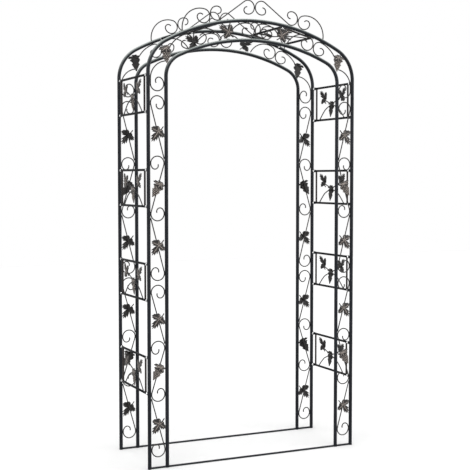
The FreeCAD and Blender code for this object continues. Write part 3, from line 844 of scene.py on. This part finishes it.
def panel_vine():
    """Two crossing stems, a leaf at each upper end and a grape bunch where they cross."""
    along, rise = PANEL_LEAF
    shells = [panel_stem(1.0, WIRE_RADIUS), panel_stem(-1.0, -WIRE_RADIUS)]
    shells += panel_ornament(VINE_LEAF, (along, rise), PANEL_LEAF_ANGLE, 2.0 * WIRE_RADIUS)
    shells += panel_ornament(VINE_LEAF, (-along, rise), 180.0 - PANEL_LEAF_ANGLE, 0.0)
    shells += panel_ornament(GRAPE_BUNCH, PANEL_GRAPE, PANEL_GRAPE_ANGLE, 2.0 * WIRE_RADIUS)
    end_y, end_z = PANEL_STEM[-1]
    for side in (-1.0, 1.0):
        foot = (side * WIRE_RADIUS, side * end_y, end_z - 0.6)
        shells.append(weld(foot, ALONG_Y, 10.0, 5.6, side))
    return shells


def hexagon_radius(turns):
    """Distance from the axis to the side of a hexagon with the standard width."""
    sector = math.pi / 3.0
    return HEX_ACROSS_FLATS / 2.0 / np.cos((turns + sector / 2.0) % sector - sector / 2.0)


def hex_piece(x, height, chamfers):
    """Hexagonal head or nut along X, its corners cut by a cone at the given ends."""
    turns = turns_round(48)
    corner = hexagon_radius(turns)
    face = np.full_like(corner, HEX_ACROSS_FLATS / 2.0 * 0.96)
    drop = (corner - face) * math.tan(math.radians(30.0))
    top = x + height

    def ring(along, radius):
        along = np.broadcast_to(along, radius.shape)
        return np.stack([along, radius * np.cos(turns), radius * np.sin(turns)], axis=1)

    low = [ring(x, face), ring(x + drop, corner)] if chamfers[0] else [ring(x, corner)]
    high = [ring(top - drop, corner), ring(top, face)] if chamfers[1] else [ring(top, corner)]
    return capped(low + high, BOLT)


def bolt():
    """M6 bolt along X: hexagon head outside, threaded tail inside."""
    face = PLATE / 2.0
    tail = face + PLATE + NUT_HEIGHT + BOLT_TAIL
    profile = [(0.0, BOLT_RADIUS - 0.8), (0.8, BOLT_RADIUS)]
    along = 1.3
    while along < NUT_HEIGHT + BOLT_TAIL:
        profile += [(along, BOLT_RADIUS - THREAD_DEPTH), (along + THREAD_PITCH / 2.0, BOLT_RADIUS)]
        along += THREAD_PITCH
    profile += [(along, BOLT_RADIUS), (tail + face, BOLT_RADIUS)]
    shank = lathe(profile, (-tail, 0.0, 0.0), ALONG_X, BOLT, sides=20)
    washer = rod((face, 0.0, 0.0), WASHER_THICKNESS, WASHER_RADIUS, ALONG_X, BOLT, 32)
    return [shank, washer, hex_piece(face + 0.4, BOLT_HEAD_HEIGHT - 0.4, (False, True))]


def nut():
    """M6 nut against the inside of the lug."""
    face = PLATE / 2.0 + PLATE
    return [hex_piece(-face - NUT_HEIGHT, NUT_HEIGHT, (True, True))]


def lug():
    """Flat tab from behind the tongue to the tube, with rounded corners and a weld."""
    half = LUG_HEIGHT / 2.0
    corner = 3.0
    end = FRAME_Y - math.sqrt(TUBE_RADIUS ** 2 - (PLATE / 2.0 + PANEL_OFFSET) ** 2)
    outline = arc((LUG_START + corner, half - corner), corner, 90.0, 180.0)
    outline += arc((LUG_START + corner, -half + corner), corner, 180.0, 270.0)
    outline += [(end, -half), (end, half)]
    middle = (LUG_START + end) / 2.0
    bevel = 0.4
    rings = []
    for x, shrink in ((-PLATE * 1.5, bevel), (-PLATE * 1.5 + bevel, 0.0),
                      (-PLATE / 2.0 - bevel, 0.0), (-PLATE / 2.0, bevel)):
        scale = 1.0 - shrink / half
        rings.append([(x, middle + (y - middle) * scale, z * scale) for y, z in outline])
    plate = capped(rings, TUBE)
    points, faces, _, relief = weld((-PLATE / 2.0 - 0.4, end, 0.0), ALONG_Z, LUG_HEIGHT, 4.4, 0.4)
    return [plate, (points, faces, TUBE, relief)]


def at_bolts(shells, at_axis):
    """The same shells at each of a panel's four bolts; lugs mirror, bolts only move."""
    result = []
    for z in (-BAR_SPACING / 2.0, BAR_SPACING / 2.0):
        for end in (-1.0, 1.0):
            if at_axis:
                move = shifted(0.0, end * BOLT_Y, z)
            else:
                move = shifted(0.0, 0.0, z) @ np.diag((1.0, end, 1.0, 1.0))
            result += placed(shells, move)
    return result


def side_panel_matrix(side, number):
    """A side panel's place, from the box of its CAD frame."""
    move = shifted(*cad_centre(f"{side}_panel_{number}_frame"))
    return move @ turned(180.0, "z") if side == "left" else move


def top_panel_matrix(side):
    """A top panel's place: its bars rest on the outer tubes' arc."""
    half = BAR_SPACING / 2.0
    reach = math.sqrt(OUTER_CURVE.crown_radius ** 2 - half ** 2) + PANEL_OFFSET
    lift = turned(-(90.0 - TOP_PANEL_ANGLE), "y") @ shifted(reach, 0.0, 0.0)
    move = shifted(0.0, 0.0, OUTER_CURVE.crown_centre[1]) @ lift
    return turned(180.0, "z") @ move if side == "left" else move


# Materials

def tree_of(name):
    """A new material with its nodes, its links and its shader."""
    material = bpy.data.materials.new(name)
    material.use_nodes = True
    nodes = material.node_tree.nodes
    return material, nodes, material.node_tree.links, nodes["Principled BSDF"]


def noise(nodes, links, scale, detail, roughness=0.55):
    """Noise in object space; the scale is in cycles per metre."""
    place = nodes.new("ShaderNodeTexCoord")
    texture = nodes.new("ShaderNodeTexNoise")
    for name, value in (("Scale", scale), ("Detail", detail), ("Roughness", roughness)):
        texture.inputs[name].default_value = value
    links.new(place.outputs["Object"], texture.inputs["Vector"])
    return texture.outputs["Fac"]


def ramp(nodes, links, source, stops):
    """Colour ramp; stops are (position, colour) pairs."""
    node = nodes.new("ShaderNodeValToRGB")
    elements = node.color_ramp.elements
    while len(elements) < len(stops):
        elements.new(0.5)
    for element, (position, colour) in zip(elements, stops):
        element.position = position
        element.color = (*colour, 1.0)
    links.new(source, node.inputs["Fac"])
    return node.outputs["Color"]


def spread(nodes, links, source, low, high, start=0.3, end=0.7):
    """The source remapped to run from low to high."""
    node = nodes.new("ShaderNodeMapRange")
    for name, value in (("From Min", start), ("From Max", end), ("To Min", low), ("To Max", high)):
        node.inputs[name].default_value = value
    links.new(source, node.inputs["Value"])
    return node.outputs["Result"]


def mixed(nodes, links, share, first, second):
    """Colour mix; first and second are colours or outputs."""
    node = nodes.new("ShaderNodeMix")
    node.data_type = "RGBA"
    links.new(share, node.inputs[0])
    sockets = [s for s in node.inputs if s.type == "RGBA"]
    for socket, value in zip(sockets, (first, second)):
        if isinstance(value, tuple):
            socket.default_value = (*value, 1.0)
        else:
            links.new(value, socket)
    return [s for s in node.outputs if s.type == "RGBA"][0]


def bump(nodes, links, shader, height, strength, distance):
    """Small roughness of the surface; the distance is in metres."""
    node = nodes.new("ShaderNodeBump")
    node.inputs["Strength"].default_value = strength
    node.inputs["Distance"].default_value = distance
    links.new(height, node.inputs["Height"])
    links.new(node.outputs["Normal"], shader.inputs["Normal"])


def top_highlight_share(nodes, links, low, high):
    """Share of painted highlight on a surface: none on its sides and below, most where it faces up."""
    surface = nodes.new("ShaderNodeNewGeometry")
    parts = nodes.new("ShaderNodeSeparateXYZ")
    links.new(surface.outputs["Normal"], parts.inputs["Vector"])
    return spread(nodes, links, parts.outputs["Z"], low, high, 0.05, 0.85)


def powder_coat(name, dark, light, dust_and_highlight, roughness, shine=0.16):
    """Satin powder coat: fine orange peel, faint clouding, dust specks, and a painted highlight on its
    upper side.
    """
    material, nodes, links, shader = tree_of(name)
    clouds = noise(nodes, links, 9.0, 5.0)
    paint = ramp(nodes, links, clouds, ((0.35, dark), (0.72, light)))
    specks = spread(nodes, links, noise(nodes, links, 420.0, 3.0), 0.0, 0.25, 0.62, 0.78)
    speckled = mixed(nodes, links, specks, paint, dust_and_highlight)
    # Painted highlight: the upper side is mixed towards the dust colour, as if lit from above.
    top_highlighted = mixed(nodes, links, top_highlight_share(nodes, links, 0.0, 0.9), speckled, dust_and_highlight)
    links.new(top_highlighted, shader.inputs["Base Color"])
    rough = spread(nodes, links, noise(nodes, links, 60.0, 4.0), roughness - 0.06, roughness + 0.10)
    links.new(rough, shader.inputs["Roughness"])
    shader.inputs["Specular IOR Level"].default_value = shine
    bump(nodes, links, shader, noise(nodes, links, 700.0, 2.0), 0.22, 0.0005)
    return material


def bronzed():
    """Dark brown paint with bronze brushed over the raised parts."""
    material, nodes, links, shader = tree_of("bronzed_paint")
    height = nodes.new("ShaderNodeAttribute")
    height.attribute_name = "relief"
    clouds = noise(nodes, links, 55.0, 5.0)
    dark, light = (0.004, 0.0035, 0.0035), (0.011, 0.009, 0.0085)
    base = ramp(nodes, links, clouds, ((0.3, dark), (0.75, light)))
    strokes = noise(nodes, links, 330.0, 4.0, 0.7)
    brushed = nodes.new("ShaderNodeMath")
    brushed.operation = "MULTIPLY"
    links.new(height.outputs["Fac"], brushed.inputs[0])
    links.new(spread(nodes, links, strokes, 0.45, 1.0, 0.35, 0.62), brushed.inputs[1])
    share = spread(nodes, links, brushed.outputs[0], 0.0, 1.0, 0.30, 0.85)
    bronze = (0.400, 0.350, 0.315)
    links.new(mixed(nodes, links, share, base, bronze), shader.inputs["Base Color"])
    links.new(spread(nodes, links, brushed.outputs[0], 0.0, 0.6, 0.1, 0.9), shader.inputs["Metallic"])
    links.new(spread(nodes, links, strokes, 0.36, 0.55), shader.inputs["Roughness"])
    shader.inputs["Specular IOR Level"].default_value = 0.3
    bump(nodes, links, shader, strokes, 0.25, 0.0006)
    return material


def zinc():
    """Bright zinc plate with a faint grain and a few dull patches."""
    material, nodes, links, shader = tree_of("zinc_plate")
    patches = noise(nodes, links, 240.0, 4.0)
    dull, bright = (0.70, 0.70, 0.69), (0.92, 0.93, 0.94)
    colour = ramp(nodes, links, patches, ((0.35, dull), (0.7, bright)))
    links.new(colour, shader.inputs["Base Color"])
    shader.inputs["Metallic"].default_value = 1.0
    links.new(spread(nodes, links, patches, 0.22, 0.42), shader.inputs["Roughness"])
    bump(nodes, links, shader, noise(nodes, links, 900.0, 3.0), 0.2, 0.0003)
    return material


def pale_floor():
    """Pale studio floor with a barely visible grain."""
    material, nodes, links, shader = tree_of("studio_floor")
    grain = noise(nodes, links, 3.0, 6.0)
    colour = ramp(nodes, links, grain, ((0.3, (0.345, 0.345, 0.345)), (0.7, (0.355, 0.355, 0.355))))
    links.new(colour, shader.inputs["Base Color"])
    shader.inputs["Roughness"].default_value = 0.9
    return material


TUBE_BLACK = ((0.0025, 0.0034, 0.0055), (0.0070, 0.0085, 0.0120))
MATERIALS = {
    # The third colour of each coat is for its dust specks and for the painted highlight on its upper
    # side; on the arch tubes it is a light grey-green painted highlight, elsewhere it stays close to
    # the paint.
    ARCH: powder_coat("arch_powder_coat_painted_highlight", *TUBE_BLACK, (0.190, 0.210, 0.200), 0.34),
    TUBE: powder_coat("tube_powder_coat", *TUBE_BLACK, (0.008, 0.009, 0.011), 0.34),
    WIRE: powder_coat("wire_powder_coat", (0.0100, 0.0095, 0.0095), (0.0260, 0.0235, 0.0230),
                      (0.040, 0.039, 0.038), 0.42),
    POST: powder_coat("post_powder_coat", (0.0080, 0.0065, 0.0062), (0.0220, 0.0170, 0.0160),
                      (0.030, 0.026, 0.024), 0.40),
    BAR: powder_coat("bar_powder_coat", (0.0020, 0.0022, 0.0028), (0.0050, 0.0055, 0.0070),
                     (0.005, 0.0055, 0.0065), 0.45, 0.04),
    LEAF: bronzed(),
    BOLT: zinc(),
}
SHARP_EDGE = math.radians(40.0)


def in_scene(name, data):
    """A new object in the scene."""
    obj = bpy.data.objects.new(name, data)
    bpy.context.scene.collection.objects.link(obj)
    return obj


def finished(node, shells):
    """The visible piece for one CAD node, from its shells."""
    name = node + "_finished"
    finishes = sorted({finish for _, _, finish, _ in shells})
    mesh = bpy.data.meshes.new(name)
    points, faces, indices, relief = [], [], [], []
    start = 0
    for shell_points, shell_faces, finish, shell_relief in shells:
        points.append(shell_points)
        relief.append(shell_relief)
        faces += [tuple(start + index for index in face) for face in shell_faces]
        indices += [finishes.index(finish)] * len(shell_faces)
        start += len(shell_points)
    mesh.from_pydata((np.concatenate(points) * MM).tolist(), [], faces)
    mesh.polygons.foreach_set("material_index", indices)
    mesh.shade_smooth()
    mesh.set_sharp_from_angle(angle=SHARP_EDGE)
    attribute = mesh.attributes.new("relief", "FLOAT", "POINT")
    attribute.data.foreach_set("value", np.concatenate(relief).astype(np.float32))
    for finish in finishes:
        mesh.materials.append(MATERIALS[finish])
    mesh.update()
    obj = in_scene(name, mesh)
    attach(obj, "root")
    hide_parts(node)


# Build every piece

def build_frames():
    """Both frames: each is the same drawing, moved to its place."""
    levels = {"lower": (0.0, LOWER_JOINT), "upper": (LOWER_JOINT, UPPER_JOINT)}
    curves = {"outer": OUTER_CURVE, "inner": INNER_CURVE}
    arch = {
        "arch_scrollwork": both_halves(arch_scrolls()),
        "crest_scrolls": both_halves(crest_scrolls()),
        "arch_foliage": both_halves(ornament(VINE_LEAF, ARCH_LEAF, ARCH_LEAF_ANGLE)
                                    + ornament(GRAPE_BUNCH, ARCH_GRAPE, ARCH_GRAPE_ANGLE)),
        "ground_bar": ground_bars(),
    }
    for row, curve in curves.items():
        arch[f"arch_{row}_tube"] = [arch_tube(curve)]
    leg = {}
    for level, (bottom, top) in levels.items():
        for row, curve in curves.items():
            leg[f"{level}_{row}_tube"] = [leg_tube(curve.side_x, bottom, top)]
        leg[f"{level}_scrollwork"], centre, leaf_rise = leg_scrolls(level)
        leg[f"{level}_foliage"] = leg_foliage(centre, leaf_rise)
    for name in ("front", "rear"):
        move = frame_matrix(name)
        for piece, shells in arch.items():
            finished(f"{name}_{piece}", placed(shells, move))
        for side in SIDES:
            leg_move = move @ side_matrix(side, name)
            for piece, shells in leg.items():
                finished(f"{name}_{side}_{piece}", placed(shells, leg_move))


def build_panels():
    """The side and top panels with their bolts, nuts and lugs."""
    groups = {name: [] for name in (
        "top_panel_frames", "panel_lugs", "panel_bolts", "panel_nuts",
        "left_panel_vines", "right_panel_vines", "top_panel_vines")}
    hardware = {"panel_lugs": at_bolts(lug(), False), "panel_bolts": at_bolts(bolt(), True),
                "panel_nuts": at_bolts(nut(), True)}
    corners, vine = panel_frame(), panel_vine()
    for side in SIDES:
        moves = [side_panel_matrix(side, number + 1) for number in range(PANELS_PER_SIDE)]
        for number, move in enumerate(moves, 1):
            finished(f"{side}_panel_{number}_frame", placed(corners, move))
            groups[f"{side}_panel_vines"] += placed(vine, move)
        moves.append(top_panel_matrix(side))
        groups["top_panel_frames"] += placed(corners, moves[-1])
        groups["top_panel_vines"] += placed(vine, moves[-1])
        for group, shells in hardware.items():
            for move in moves:
                groups[group] += placed(shells, move)
    for group, shells in groups.items():
        finished(group, shells)


def finish_hidden_spigots():
    """The spigots are inside the tubes; they keep their CAD shape and get the tube's finish."""
    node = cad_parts["joint_spigots"]
    node.data.materials.clear()
    node.data.materials.append(MATERIALS[TUBE])


def lamp(name, data, direction):
    """A lamp that shines in this direction."""
    obj = in_scene(name, data)
    obj.rotation_euler = Vector(direction).to_track_quat("-Z", "Y").to_euler()
    return obj


def soft_sun(name, direction, angle, strength):
    """Very large distant softbox: it lights the whole floor evenly."""
    data = bpy.data.lights.new(name, "SUN")
    data.angle = math.radians(angle)
    data.energy = strength
    lamp(name, data, direction)


def area_light(name, place, size, power):
    """Round softbox aimed at the middle of the arch."""
    data = bpy.data.lights.new(name, "AREA")
    data.shape = "DISK"
    data.size = size
    data.energy = power
    lamp(name, data, Vector(ARCH_MIDDLE) - Vector(place)).location = place


def build_studio():
    """Pale floor, even white surroundings and soft lights."""
    mesh = bpy.data.meshes.new("studio_floor")
    corners = [(x * FLOOR_REACH, y * FLOOR_REACH, 0.0) for x, y in ((-1, -1), (1, -1), (1, 1), (-1, 1))]
    mesh.from_pydata(corners, [], [(0, 1, 2, 3)])
    mesh.materials.append(pale_floor())
    floor = in_scene("studio_floor", mesh)

    world = bpy.data.worlds.new("studio")
    bpy.context.scene.world = world
    world.use_nodes = True
    background = world.node_tree.nodes["Background"]
    background.inputs["Color"].default_value = (1.0, 1.0, 1.0, 1.0)
    background.inputs["Strength"].default_value = 1.0

    soft_sun("overhead", (0.12, 0.16, -1.0), 80.0, 6.0)
    area_light("key", (-4.5, -4.0, 2.6), 2.6, 60.0)
    area_light("side", (5.0, -3.6, 2.2), 2.4, 150.0)


def place_camera():
    """Eye-level camera in front of the left leg, turned towards the arch."""
    lens = bpy.data.cameras.new("camera")
    lens.sensor_width = SENSOR_WIDTH
    lens.lens = FOCAL_LENGTH
    camera = in_scene("camera", lens)
    camera.location = CAMERA_PLACE
    camera.rotation_euler = (math.radians(CAMERA_TILT), 0.0, math.radians(CAMERA_HEADING))
    bpy.context.scene.camera = camera
    bpy.context.scene.view_settings.view_transform = "Standard"


build_frames()
build_panels()
finish_hidden_spigots()
build_studio()
place_camera()
